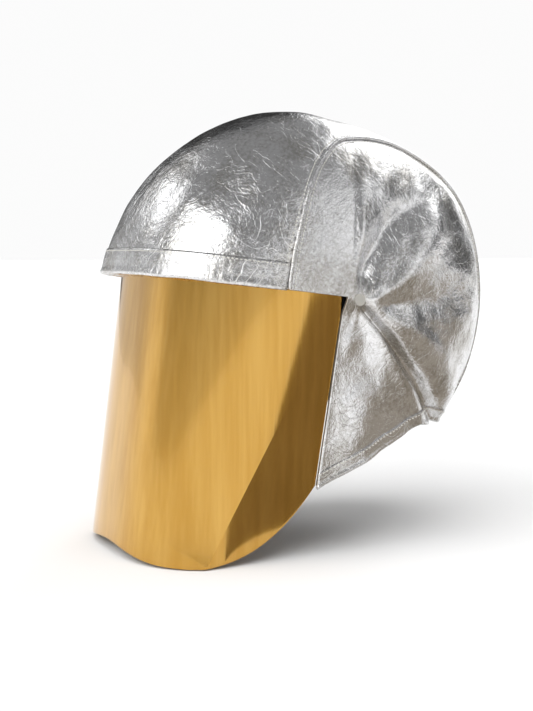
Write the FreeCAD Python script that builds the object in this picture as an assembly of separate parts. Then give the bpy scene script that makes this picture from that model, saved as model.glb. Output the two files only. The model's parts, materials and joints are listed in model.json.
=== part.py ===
import FreeCAD, Part
import math
import os
from FreeCAD import Vector

# Heat-protection face shield, in millimetres and degrees: a ratchet headgear, a crown guard that
# tilts on it and holds a curved window, and a sewn heat-reflecting hood fastened to the guard.
# Origin: centre of the headband at mid height. +X wearer's left, +Y rear, +Z up.

# ---- headband
head_length = 200.0
head_width = 160.0
band_height = 26.0
band_wall = 1.8
pad_thickness = 4.0
pad_fit = 0.05
pad_rounding = 1.2
pad_margin = 2.0           # brow pad past the band's edges, nape pad short of them
brow_pad_angle = 60.0      # each side of straight ahead

# ---- tilt pivot of the shield
pivot_y = -14.0
pivot_z = 2.0
rest_tilt = 7.1            # front of the shield up, when lowered
tilt_range = 55.0
bolt_radius = 4.0
shaft_fit = 0.1
face_gap = 0.05
bracket_wall = 3.0
boss_height = 5.0
washer_wall = 1.0
arm_wall = 3.0
spring_height = 1.3
pivot_knob_width = 7.6

# the pivot's parts stand one outside the other along X, and the window clears them all
bracket_outer = head_width / 2 + bracket_wall
boss_outer = bracket_outer + boss_height
arm_inner = boss_outer + washer_wall + 2 * face_gap
arm_outer = arm_inner + arm_wall
knob_inner = arm_outer + spring_height + 2 * face_gap
knob_end = knob_inner + pivot_knob_width

# ---- window, a flat sheet bent round the face
knob_room = 1.4
face_room = 50.0           # from the headband's front to the window
window_wall = 1.5
window_squareness = 2.8
window_height = 209.0      # below the brow, in the middle
window_sag = 12.0          # how much lower it is beside the middle
window_overlap = 19.0      # above the brow, behind the hem
window_corner_rise = 66.0  # how much shorter the side edges are
window_set_forward = 11.0  # rear edges ahead of the pivot
window_half_width = knob_end + knob_room + window_wall
window_depth = head_length / 2 + pivot_y + face_room - window_set_forward

# ---- headgear straps
strap_rise = 105.0
strap_width = 14.0
strap_wall = 1.6
strap_overlap = 25.0
strap_hole_pitch = 8.0

# ---- hood
brow_overhang = 14.0       # hem outside ahead of the window
side_room = 6.0
nape_room = 52.0           # behind the headband, for the ratchet and a hand's way to it
crown_room = 44.0
hood_half_width = window_half_width + side_room
hood_front = window_set_forward + window_depth + brow_overhang
hood_rear = head_length / 2 - pivot_y + nape_room
hood_top = strap_rise + crown_room
brow_level = 1.0
fabric = 1.2
lining = 1.0
layer_gap = 0.2
seam_gap = 1.2
brow_hem_height = 20.0
neck_hem_height = 12.0
neck_level = -91.0         # neck hem at the rear, from the pivot
cape_drop = 54.0           # how much lower it is at the window
cape_slope = 90.0          # how far back the hem starts to go down
side_front = 1.0 - window_set_forward    # the cape starts just behind the window
piping_width = 4.0
piping_height = 1.4

# ---- crown guard
guard_wall = 2.5
guard_gap = 4.0            # hood outside to guard outside

# ---- ratchet
pinion_teeth = 9
pinion_pitch_radius = 3.6
pinion_tip_radius = 4.2
pinion_root_radius = 2.4
pinion_tooth = 0.75
rack_wall = 1.2
rack_height = 15.0
rack_gap = 0.4
knob_radius = 19.0
knob_turn = 180.0          # each way
knob_flutes = 14
drive_radius = 3.5
drive_length = 9.0
detent_radius = 13.0
detent_notches = 24
knob_screw_radius = 1.3
knob_screw_sink = 2.5


def rad(degrees):
    return math.radians(degrees)


def cylinder(radius, start, end, y, z):
    """Round bar along X."""
    return Part.makeCylinder(radius, end - start, Vector(start, y, z), Vector(1, 0, 0))


def ring(outer, inner, start, end, y, z):
    return cylinder(outer, start, end, y, z).cut(cylinder(inner, start - 1, end + 1, y, z))


def bar(radius, start, end, x=0.0, z=0.0):
    """Round bar along Y."""
    return Part.makeCylinder(radius, end - start, Vector(x, start, z), Vector(0, 1, 0))


def block(x0, x1, y0, y1, z0, z1):
    return Part.makeBox(x1 - x0, y1 - y0, z1 - z0, Vector(x0, y0, z0))


def plate(points, x0, x1):
    """Flat plate with a straight-sided outline of (y, z) points."""
    wire = Part.makePolygon([Vector(x0, y, z) for y, z in points + points[:1]])
    return Part.Face(wire).extrude(Vector(x1 - x0, 0, 0))


def fuse(shapes):
    return shapes[0].multiFuse(shapes[1:]).removeSplitter()


def mirrored(shape):
    return shape.mirror(Vector(0, 0, 0), Vector(1, 0, 0))


def save(name, shape):
    solids = shape.Solids
    shape = solids[0] if len(solids) == 1 else Part.makeCompound(solids)
    if not solids or not shape.isValid() or shape.Volume <= 0:
        raise RuntimeError(name + " is not a sound solid")
    shape.exportStep("parts/" + name + ".step")
    print(name, len(solids), round(shape.Volume))


def save_pair(name, left):
    save(name + "_left", left)
    save(name + "_right", mirrored(left))


def through_table(table):
    """Smooth curve through (angle, value) pairs, as a function of the angle."""
    curve = Part.BSplineCurve()
    curve.interpolate(Points=[Vector(a, v, 0) for a, v in table], Parameters=[a for a, v in table])
    return lambda angle: curve.value(angle).y


# ============ headgear ============
band_radius = head_width / 2
band_straight = (head_length - head_width) / 2
band_top = band_height / 2
band_inner = band_radius - band_wall


def stadium(radius, z0, z1):
    """Oval prism with the band's two arc centres."""
    left, right = Vector(radius, band_straight, z0), Vector(-radius, band_straight, z0)
    front_right, front_left = Vector(-radius, -band_straight, z0), Vector(radius, -band_straight, z0)
    rear = Part.Arc(left, Vector(0, band_straight + radius, z0), right).toShape()
    front = Part.Arc(front_right, Vector(0, -band_straight - radius, z0), front_left).toShape()
    sides = [Part.makeLine(right, front_right), Part.makeLine(front_left, left)]
    wire = Part.Wire([rear, sides[0], front, sides[1]])
    return Part.Face(wire).extrude(Vector(0, 0, z1 - z0))


def sector(inner, outer, start, end, z0, z1, facing=1):
    """Part of a ring round an arc centre, by angles from straight back (or straight ahead) to +X."""
    def at(radius, angle):
        return Vector(radius * math.sin(rad(angle)),
                      facing * (band_straight + radius * math.cos(rad(angle))), z0)
    middle = (start + end) / 2
    edges = [Part.Arc(at(outer, start), at(outer, middle), at(outer, end)).toShape(),
             Part.makeLine(at(outer, end), at(inner, end)),
             Part.Arc(at(inner, end), at(inner, middle), at(inner, start)).toShape(),
             Part.makeLine(at(inner, start), at(outer, start))]
    return Part.Face(Part.Wire(edges)).extrude(Vector(0, 0, z1 - z0))


def spoke(radius, start, end, angle, z):
    """Round bar that points away from the rear arc centre."""
    out = Vector(math.sin(rad(angle)), math.cos(rad(angle)), 0)
    return Part.makeCylinder(radius, end - start, Vector(0, band_straight, z) + out * start, out)


# radii of the ratchet's layers, outwards from the band
housing_wall = 1.2
housing_inner = band_radius
inner_rack = housing_inner + housing_wall + rack_gap
outer_rack = inner_rack + rack_wall + rack_gap
cover_inner = outer_rack + rack_wall + rack_gap
cover_wall = 2.0
cover_outer = cover_inner + cover_wall
channel_half = rack_height / 2 + rack_gap
housing_angle = 27.0
opening_angle = 24.0
screw_angle = 25.5
housing_half = 12.0
screw_radius = 1.2
screw_head = 2.2
screw_height = housing_half - 2.0
screw_places = [(angle, z) for angle in (-screw_angle, screw_angle)
                for z in (-screw_height, screw_height)]

keeper_start, keeper_end = 34.0, 40.0
keeper_wall = 1.5
bracket_half = 20.0        # along the band, each side of the pivot
strap_y = pivot_y + bracket_half + strap_width / 2
strap_past_straight = max(0.0, strap_y + strap_width / 2 - band_straight)
strap_half_width = math.sqrt(band_inner**2 - strap_past_straight**2) - pad_fit
strap_rivet_z = -6.0
rivet_radius = 1.6
rivet_head = 2.6
strap_rivet_head = 3.0
rivet_head_height = 0.9
bracket_rivet_reach = bracket_half - 7.0
bracket_rivet_rise = 7.0
bracket_rivet_places = [(pivot_y + side * bracket_rivet_reach, pivot_z + bracket_rivet_rise)
                        for side in (-1, 1)]


def make_band():
    band = stadium(band_radius, -band_top, band_top)
    band = band.cut(stadium(band_inner, -band_top - 1, band_top + 1))
    band = band.cut(sector(band_inner - 1, band_radius + 1, -opening_angle, opening_angle,
                           -band_top - 1, band_top + 1))
    keepers = []
    for start, end in ((keeper_start, keeper_end), (-keeper_end, -keeper_start)):
        loop_half = channel_half + keeper_wall
        loop = sector(band_radius - 0.5, cover_outer, start, end, -loop_half, loop_half)
        keepers.append(loop.cut(sector(band_radius, cover_inner, start - 1, end + 1,
                                       -channel_half, channel_half)))
    band = fuse([band] + keepers)
    holes = [spoke(screw_radius + face_gap, band_inner - 2, cover_outer, a, z) for a, z in screw_places]
    for side in (1, -1):
        for y, z in bracket_rivet_places + [(strap_y, strap_rivet_z)]:
            inside, outside = sorted((side * (band_inner - 10), side * (band_radius + 3)))
            holes.append(cylinder(rivet_radius + face_gap, inside, outside, y, z))
    save("headband", band.cut(Part.makeCompound(holes)))


def make_pads():
    outer = band_inner - pad_fit
    inner = outer - pad_thickness
    brow_half, nape_half = band_top + pad_margin, band_top - pad_margin
    brow = sector(inner, outer, -brow_pad_angle, brow_pad_angle, -brow_half, brow_half, facing=-1)
    nape = sector(inner, outer, -housing_angle, housing_angle, -nape_half, nape_half)
    for name, pad, height in (("brow_pad", brow, brow_half), ("nape_pad", nape, nape_half)):
        long_edges = [e for e in pad.Edges if e.Length > 2.2 * height]
        save(name, pad.makeFillet(pad_rounding, long_edges))


pinion_back = band_straight + inner_rack - rack_gap / 2
pinion_front = band_straight + cover_inner - rack_gap / 2
pinion_stub = 2.5
pinion_shaft = 5.0
spring_leaf = 0.4
knob_back = band_straight + cover_outer + spring_leaf + 0.1
knob_depth = 13.5


def make_housing():
    base = sector(housing_inner, housing_inner + housing_wall, -housing_angle, housing_angle,
                  -housing_half, housing_half)
    rails = [sector(housing_inner + housing_wall - 0.2, cover_inner, -housing_angle, housing_angle, z0, z1)
             for z0, z1 in ((-housing_half, -channel_half), (channel_half, housing_half))]
    bores = [spoke(screw_radius + face_gap, band_inner, cover_outer + 1, a, z) for a, z in screw_places]
    stub_hole = bar(pinion_stub + shaft_fit, band_straight + housing_inner - 1, pinion_back)
    save("ratchet_housing", fuse([base] + rails).cut(Part.makeCompound(bores + [stub_hole])))

    cover = sector(cover_inner, cover_outer, -housing_angle, housing_angle, -housing_half, housing_half)
    shaft_hole = bar(pinion_shaft + shaft_fit, pinion_front - 1, knob_back)
    cover = cover.cut(Part.makeCompound(bores + [shaft_hole]))
    save("ratchet_cover", cover)

    screws = []
    for a, z in screw_places:
        head = spoke(screw_head, cover_outer, cover_outer + screw_radius, a, z)
        screws.append(spoke(screw_radius, band_inner + 0.3, cover_outer, a, z).fuse(head))
    save("housing_screws", Part.makeCompound(screws))

    # flat spring ring that clicks in the notches inside the knob's skirt
    ring_front = band_straight + cover_outer + face_gap
    ring_back = ring_front + spring_leaf
    finger = detent_radius - 2.0
    leaf = bar(detent_radius - 4.0, ring_front, ring_back)
    fingers = block(-finger, finger, ring_front, ring_back, -1.5, 1.5)
    shaft_way = bar(pinion_shaft + 0.6, ring_front - 1, ring_front + 1)
    save("detent_spring", leaf.fuse(fingers).cut(shaft_way).removeSplitter())


rack_pitch = 360.0 / pinion_teeth * pinion_pitch_radius / (outer_rack + rack_wall / 2)
rack_travel = knob_turn / 360.0 * pinion_teeth * rack_pitch
slot_half = pinion_tip_radius + rack_gap
slot_angle = rack_travel + math.degrees(pinion_tip_radius / inner_rack) + 1.0
rack_end_margin = 3.0
rack_tail = keeper_end + rack_travel + 0.15    # let right out, it still passes through its keeper
rack_half = rack_height / 2


def make_rack(inner, first_tooth, up):
    """Bent strip with a toothed slot; the tail points to +X."""
    outer = inner + rack_wall
    strip = sector(inner, outer, -slot_angle - rack_end_margin, rack_tail, -rack_half, rack_half)
    strip = strip.cut(sector(inner - 1, outer + 1, -slot_angle, slot_angle, -slot_half, slot_half))
    tip = pinion_pitch_radius - 0.7
    width = 0.38 * rack_pitch
    count = int(slot_angle / rack_pitch - 0.6)
    teeth = []
    for i in range(-count, count + 1):
        middle = (i + first_tooth) * rack_pitch
        if abs(middle) + width > slot_angle:
            continue
        low, high = (tip, slot_half + 0.2) if up else (-slot_half - 0.2, -tip)
        teeth.append(sector(inner, outer, middle - width / 2, middle + width / 2, low, high))
    return fuse([strip] + teeth)


def make_ratchet():
    save("rack_left", make_rack(outer_rack, 0.5, True))
    save("rack_right", mirrored(make_rack(inner_rack, 0.0, False)))

    body = bar(pinion_root_radius, pinion_back, pinion_front)
    stub = bar(pinion_stub, band_straight + housing_inner + 0.2, pinion_back)
    shaft = bar(pinion_shaft, pinion_front, knob_back + 2.0)
    drive = bar(drive_radius, knob_back, knob_back + drive_length)
    half = pinion_tooth / 2
    teeth = []
    for i in range(pinion_teeth):
        tooth = block(-half, half, pinion_back, pinion_front, 1.5, pinion_tip_radius)
        tooth.rotate(Vector(0, 0, 0), Vector(0, 1, 0), i * 360.0 / pinion_teeth)
        teeth.append(tooth)
    pinion = fuse([body, stub, shaft, drive] + teeth)
    pilot = bar(knob_screw_radius + face_gap, knob_back + 1.0, knob_back + 20.0)
    save("ratchet_pinion", pinion.cut(pilot))

    knob_face = knob_back + knob_depth
    grip = bar(knob_radius, knob_back, knob_face)
    rims = [e for e in grip.Edges if e.Length > 2 * math.pi * knob_radius - 1]
    grip = grip.makeFillet(2.0, [e for e in rims if e.CenterOfMass.y > knob_back + 1])
    hollow_end = knob_back + 3.0
    cuts = [bar(detent_radius, knob_back - 1, hollow_end)]
    for i in range(knob_flutes):
        turn = rad(i * 360.0 / knob_flutes)
        reach = knob_radius + 1.4
        cuts.append(bar(2.6, knob_back - 1, knob_face + 1, reach * math.cos(turn), reach * math.sin(turn)))
    for i in range(detent_notches):
        turn = rad(i * 360.0 / detent_notches)
        cuts.append(bar(0.9, knob_back - 1, hollow_end,
                        detent_radius * math.cos(turn), detent_radius * math.sin(turn)))
    knob = grip.cut(Part.makeCompound(cuts))
    hub = bar(8.0, knob_back + 0.2, knob_back + 4.0)
    knob = knob.fuse(hub.cut(bar(7.5, knob_back - 1, knob_back + 0.5)))
    socket = bar(drive_radius + face_gap, knob_back, knob_back + drive_length + 0.1)
    sink = bar(pinion_shaft + face_gap, knob_back, knob_back + 2.1 + face_gap)
    screw_way = bar(knob_screw_radius + face_gap, knob_back, knob_face + 1)
    head_seat = bar(3.0, knob_face - knob_screw_sink, knob_face + 1)
    for hole in (socket, sink, screw_way, head_seat):
        knob = knob.cut(hole)
    save("ratchet_knob", knob.removeSplitter())

    head_under = knob_face - knob_screw_sink + face_gap
    head = bar(2.8, head_under, knob_face - 0.6)
    head = head.cut(block(-3.0, 3.0, knob_face - 1.4, knob_face, -0.4, 0.4))
    shank = bar(knob_screw_radius, knob_back + 1.5, head_under)
    save("knob_screw", head.fuse(shank).removeSplitter())


def arch(half_width, rise, wall, y0, width):
    """Half-ellipse strap over the head, with a straight leg down inside the band."""
    def ellipse(a, b):
        curve = Part.Ellipse(Vector(0, y0, b), Vector(a, y0, 0), Vector(0, y0, 0))
        return Part.Face(Part.Wire(curve.toShape())).extrude(Vector(0, width, 0))
    loop = ellipse(half_width, rise).cut(ellipse(half_width - wall, rise - wall))
    loop = loop.common(block(-strap_overlap, half_width + 1, y0 - 1, y0 + width + 1, 0, rise + 1))
    return loop.fuse(block(half_width - wall, half_width, y0, y0 + width, -band_top + 2, 0))


def make_crown_straps():
    half_width = strap_half_width
    y0 = strap_y - strap_width / 2
    lower_rise = strap_rise - strap_wall - 0.4
    peg_radius = 2.0
    holes = [Part.makeCylinder(peg_radius + shaft_fit, 60, Vector(x, strap_y, strap_rise - 40))
             for x in [strap_hole_pitch * i for i in range(-2, 3)]]
    holes.append(cylinder(rivet_radius + face_gap, half_width - 10, half_width + 5, strap_y, strap_rivet_z))
    upper, lower = [arch(half_width, rise, strap_wall, y0, strap_width).cut(Part.makeCompound(holes))
                    for rise in (strap_rise, lower_rise)]
    save("crown_strap_left", upper.removeSplitter())
    save("crown_strap_right", mirrored(lower.removeSplitter()))

    below = lower_rise - strap_wall
    shaft = Part.makeCylinder(peg_radius, strap_rise + 1 - below + 2, Vector(0, strap_y, below - 2))
    head = Part.makeCylinder(5.0, 1.6, Vector(0, strap_y, strap_rise + face_gap))
    bulb = Part.makeCone(1.6, 2.6, 2.4, Vector(0, strap_y, below - 3.0))
    save("crown_strap_peg", fuse([shaft, head, bulb]))

    rivets = []
    inside = half_width - strap_wall
    for side in (1, -1):
        heads = [(strap_rivet_head, inside - rivet_head_height, inside - face_gap),
                 (rivet_radius, inside - 0.5, band_radius + 0.5),
                 (strap_rivet_head, band_radius + face_gap, band_radius + 1.0)]
        rivet = fuse([cylinder(r, a, b, strap_y, strap_rivet_z) for r, a, b in heads])
        rivets.append(rivet if side > 0 else mirrored(rivet))
    save("strap_rivets", Part.makeCompound(rivets))


pivot_knob_radius = 14.0
pivot_knob_flutes = 8
boss_radius = 10.0
washer_radius = 11.0
spring_radius = 9.0
bolt_head = 11.0           # across its flats
stop_pin_radius = 2.0
stop_pin_reach = 16.0
stop_wall = 4.5
stop_span = 12.0           # degrees
stop_clearance = 1.0       # degrees left at each end of the tilt


def fan(inner, outer, start, end, x0, x1):
    """Part of a flat ring round the pivot, by angles from straight back to straight up."""
    def at(radius, angle):
        return Vector(x0, pivot_y + radius * math.cos(rad(angle)), pivot_z + radius * math.sin(rad(angle)))
    middle = (start + end) / 2
    edges = [Part.Arc(at(outer, start), at(outer, middle), at(outer, end)).toShape(),
             Part.makeLine(at(outer, end), at(inner, end)),
             Part.Arc(at(inner, end), at(inner, middle), at(inner, start)).toShape(),
             Part.makeLine(at(inner, start), at(outer, start))]
    return Part.Face(Part.Wire(edges)).extrude(Vector(x1 - x0, 0, 0))


def hexagon(across, x0, x1):
    points = [(pivot_y + across / 2 / math.cos(rad(30)) * math.cos(rad(60 * i)),
               pivot_z + across / 2 / math.cos(rad(30)) * math.sin(rad(60 * i))) for i in range(6)]
    return plate(points, x0, x1)


def make_pivots():
    rim = stop_pin_reach + stop_pin_radius + 1.5
    tongue = block(band_radius, bracket_outer, pivot_y - bracket_half, pivot_y + bracket_half,
                   pivot_z - 9, pivot_z + 9)
    disc = cylinder(rim, band_radius, bracket_outer, pivot_y, pivot_z)
    boss = cylinder(boss_radius, bracket_outer - 0.5, boss_outer, pivot_y, pivot_z)
    pin_half = math.degrees(math.asin(stop_pin_radius / stop_pin_reach)) + stop_clearance
    stops = []
    for edge, way in ((-rest_tilt + pin_half, 1), (-rest_tilt - tilt_range - pin_half, -1)):
        start, end = sorted((edge, edge + way * stop_span))
        stops.append(fan(stop_pin_reach - 2.5, rim, start, end,
                         bracket_outer - 0.5, bracket_outer + stop_wall))
    head_depth = bracket_wall - 0.4
    bracket = fuse([tongue, disc, boss] + stops)
    seat = hexagon(bolt_head + 2 * face_gap, band_radius - 1, band_radius + head_depth + face_gap)
    bracket = bracket.cut(seat)
    bracket = bracket.cut(cylinder(bolt_radius + face_gap, band_radius, boss_outer + 1, pivot_y, pivot_z))
    for y, z in bracket_rivet_places:
        bracket = bracket.cut(cylinder(rivet_radius + face_gap, band_radius - 1, bracket_outer + 1, y, z))
    save_pair("pivot_bracket", bracket)

    rivets = []
    for y, z in bracket_rivet_places:
        past_straight = max(0.0, abs(y) + rivet_head - band_straight)
        inside = math.sqrt(band_inner**2 - past_straight**2) - face_gap
        steps = [(rivet_head, inside - rivet_head_height, inside),
                 (rivet_radius, inside - 0.5, bracket_outer + 0.5),
                 (rivet_head, bracket_outer + face_gap, bracket_outer + 1.0)]
        rivets.append(fuse([cylinder(r, a, b, y, z) for r, a, b in steps]))
    save("bracket_rivets", Part.makeCompound(rivets + [mirrored(r) for r in rivets]))

    bolt_end = knob_inner + pivot_knob_width - 2.0
    bolt = hexagon(bolt_head, band_radius + 0.1, band_radius + head_depth)
    shank = cylinder(bolt_radius, band_radius + head_depth - 0.1, bolt_end, pivot_y, pivot_z)
    save_pair("pivot_bolt", bolt.fuse(shank).removeSplitter())
    washer_bore = bolt_radius + 0.3
    save_pair("friction_washer", ring(washer_radius, washer_bore, boss_outer + face_gap,
                                      boss_outer + washer_wall, pivot_y, pivot_z))

    base, wall = arm_outer + face_gap, 0.6
    section = [(washer_bore, base + spring_height - wall), (washer_bore, base + spring_height),
               (spring_radius, base + wall), (spring_radius, base)]
    points = [Vector(x, pivot_y + r, pivot_z) for r, x in section + section[:1]]
    spring = Part.Face(Part.makePolygon(points)).revolve(Vector(0, pivot_y, pivot_z), Vector(1, 0, 0), 360)
    save_pair("spring_washer", spring)

    knob = cylinder(pivot_knob_radius, knob_inner + 1.8, knob_end, pivot_y, pivot_z)
    knob = knob.fuse(cylinder(spring_radius, knob_inner, knob_inner + 2.0, pivot_y, pivot_z))
    knob = knob.removeSplitter()
    reach = pivot_knob_radius + 1.2
    for i in range(pivot_knob_flutes):
        turn = rad(i * 360.0 / pivot_knob_flutes)
        knob = knob.cut(cylinder(3.0, knob_inner - 1, knob_end + 1,
                                 pivot_y + reach * math.cos(turn), pivot_z + reach * math.sin(turn)))
    knob = knob.cut(cylinder(bolt_radius + shaft_fit, knob_inner - 1, bolt_end + 0.2, pivot_y, pivot_z))
    save_pair("pivot_knob", knob)


# ============ shield, made level round its pivot and then tilted ============
def place(shape):
    shape = shape.copy()
    shape.rotate(Vector(0, 0, 0), Vector(1, 0, 0), -rest_tilt)
    shape.translate(Vector(0, pivot_y, pivot_z))
    return shape


# reach of the hood from the pivot axis in the middle plane, by the angle from straight back
reach_at = through_table([
    (-205, hood_front), (-180, hood_front), (-150, hood_front + 40), (-120, hood_front + 140),
    (-90, hood_front + 150), (-62, hood_rear + 39), (-38, hood_rear + 1), (-15, hood_rear - 1),
    (10, hood_rear), (40, hood_rear - 1), (62, hood_top + 5),
    (85, hood_top - 1), (105, hood_top + 2), (130, hood_front), (155, hood_front - 2), (180, hood_front),
    (205, hood_front)])
# angles between which the hood's lines meet the brow's level, and the nape's
brow_angles = (110.0, 200.0)
nape_angles = (-62.0, 60.0)
# exponent of its sections through the pivot axis: squarer at the brow
squareness_at = through_table([
    (-205, 3.2), (-180, 3.2), (-150, 2.9), (-120, 2.5), (-90, 2.43), (-40, 2.43), (0, 2.43), (40, 2.43),
    (80, 2.43), (110, 2.46), (130, 2.6), (155, 2.95), (180, 3.2), (205, 3.2)])
# share of the reach at which the shoulder seam crosses each section
seam_at = through_table([
    (-60, 0.93), (-35, 0.93), (0, 0.93), (40, 0.925), (65, 0.915), (80, 0.88), (94, 0.825), (101, 0.77),
    (109, 0.70), (117, 0.625), (127, 0.545), (139, 0.48), (150, 0.445), (165, 0.41), (185, 0.39)])


def hood_point(angle, turn, offset):
    """Point of the hood: section angle about the pivot axis, and turn within the section from +X."""
    n = squareness_at(angle)
    c, s = math.cos(turn), math.sin(turn)
    size = (abs(c)**n + abs(s)**n)**(-1 / n)
    r = (reach_at(angle) - offset) * size * s
    return Vector((hood_half_width - offset) * size * c, r * math.cos(rad(angle)), r * math.sin(rad(angle)))


def hood_side(y, z, offset):
    """Distance of the hood's left side from the middle plane at a point seen from the side."""
    angle = math.degrees(math.atan2(z, y))
    n = squareness_at(angle)
    share = math.hypot(y, z) / (reach_at(angle) - offset)
    edge = 0.965
    inside = min(share, edge)
    x = (1 - inside**n)**(1 / n)
    slope = -inside**(n - 1) * (1 - inside**n)**(1 / n - 1)
    return (hood_half_width - offset) * (x + slope * (share - inside))


def seam_turn(angle):
    n, q = squareness_at(angle), seam_at(angle)
    return math.atan2(q, (1 - q**n)**(1 / n))


def beside_seam(angle, distance):
    """Turn at a distance from the seam, towards the middle when positive."""
    turn, step = seam_turn(angle), 0.001
    along = (hood_point(angle, turn + step, 0) - hood_point(angle, turn, 0)).Length / step
    return turn + distance / along


def solve(function, low, high):
    """Root of an increasing function by halving."""
    for _ in range(40):
        middle = (low + high) / 2
        if function(middle) > 0:
            high = middle
        else:
            low = middle
    return (low + high) / 2


def angle_at_level(turn_at, level, front):
    """Section angle at which a line over the hood comes down to a level."""
    if front:
        return solve(lambda a: level - hood_point(a, turn_at(a), 0).z, *brow_angles)
    return solve(lambda a: hood_point(a, turn_at(a), 0).z - level, *nape_angles)


def skin(point, rows, columns, outer, inner):
    """Closed solid between two offsets of a surface, given as point(u, v, offset)."""
    def surface(offset):
        grid = [[point(i / rows, j / columns, offset) for j in range(columns + 1)] for i in range(rows + 1)]
        sheet = Part.BSplineSurface()
        sheet.interpolate(grid)
        return sheet
    top, bottom = surface(outer), surface(inner)
    u0, u1, v0, v1 = top.bounds()
    faces = [top.toShape(), bottom.toShape()]
    for u in (u0, u1):
        faces.append(Part.makeRuledSurface(top.uIso(u).toShape(), bottom.uIso(u).toShape()))
    for v in (v0, v1):
        faces.append(Part.makeRuledSurface(top.vIso(v).toShape(), bottom.vIso(v).toShape()))
    shell = Part.makeShell(faces)
    shell.sewShape()
    solid = Part.makeSolid(shell)
    return solid if solid.Volume > 0 else solid.reversed()


def middle_skin(edge, rear_level, front_level, outer, inner, rows=28, columns=22):
    """Piece of the middle panel, from one seam to the other and from nape to brow."""
    def point(u, v, offset):
        def turn_at(angle):
            start = beside_seam(angle, edge)
            return start + v * (math.pi - 2 * start)
        low = angle_at_level(turn_at, rear_level, False)
        high = angle_at_level(turn_at, front_level, True)
        angle = low + u * (high - low)
        return hood_point(angle, turn_at(angle), offset)
    return skin(point, rows, columns, outer, inner)


def neck_height(y):
    """Height of the neck hem, seen from the side."""
    return neck_level - cape_drop * max(0.0, (side_front + cape_slope - y) / cape_slope)**1.4


def side_outline(seam_margin, margin):
    """Outline of the left side panel seen from the side, drawn in from the seam and from its hems."""
    def seam_point(angle):
        p = hood_point(angle, beside_seam(angle, -seam_margin), 0)
        return Vector(0, p.y, p.z)
    brow, neck = brow_level + margin, neck_level + margin
    low = solve(lambda a: seam_point(a).z - neck, *nape_angles)
    high = solve(lambda a: brow - seam_point(a).z, *brow_angles)
    steps = 16
    seam = [seam_point(low + (high - low) * i / steps) for i in range(steps + 1)]
    front = side_front + margin
    rear = seam[0].y
    hem = []
    for i in range(9):
        y = front + (rear - front) * i / 8
        hem.append(Vector(0, y, neck_height(y) + margin))
    temple, corner = Vector(0, front, brow), hem[0]
    seam_edge, hem_edge = Part.BSplineCurve(), Part.BSplineCurve()
    seam_edge.interpolate(Points=seam)
    hem_edge.interpolate(Points=hem)
    return Part.Wire([Part.makeLine(seam[-1], temple), Part.makeLine(temple, corner), hem_edge.toShape(),
                      seam_edge.toShape()])


def side_block(offset):
    """Everything inside the hood's left side at an offset, as a solid."""
    y0, y1 = 1 - hood_front / 2, hood_rear + 4
    z0, z1 = neck_level - cape_drop - 10, hood_top + 4
    rows, columns = 32, 40
    grid = []
    for i in range(rows + 1):
        y = y0 + (y1 - y0) * i / rows
        line = [z0 + (z1 - z0) * j / columns for j in range(columns + 1)]
        grid.append([Vector(hood_side(y, z, offset), y, z) for z in line])
    sheet = Part.BSplineSurface()
    sheet.interpolate(grid)
    return sheet.toShape().extrude(Vector(-hood_half_width - 140, 0, 0))


def side_skin(seam_margin, margin, outer, inner):
    prism = Part.Face(side_outline(seam_margin, margin)).extrude(Vector(hood_half_width + 30, 0, 0))
    return prism.common(side_block(outer)).cut(side_block(inner))


neck_axis_y = 40.0         # the neck hem is laid out round an upright axis here


def hood_round(direction, z, offset):
    """Point of the hood at a height, in a level direction from the neck hem's axis."""
    cx, cy = math.cos(direction), math.sin(direction)

    def outside(distance):
        x, y = distance * cx, neck_axis_y + distance * cy
        angle = math.degrees(math.atan2(z, y))
        n = squareness_at(angle)
        across = abs(x) / (hood_half_width - offset)
        along = math.hypot(y, z) / (reach_at(angle) - offset)
        return across**n + along**n - 1
    distance = solve(outside, 20.0, hood_front + 50)
    return Vector(distance * cx, neck_axis_y + distance * cy, z)


rivet_cap = 4.5
rivet_cap_height = 1.3
temple_hole = 1.8
lining_margin = 2.0
hem_gap = 0.1              # under the hems and pipings, which are sewn on top
bevel_room = 0.6           # the two panels' edges are cut in different directions
lining_outer = fabric + layer_gap
hood_wall = lining_outer + lining


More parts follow.
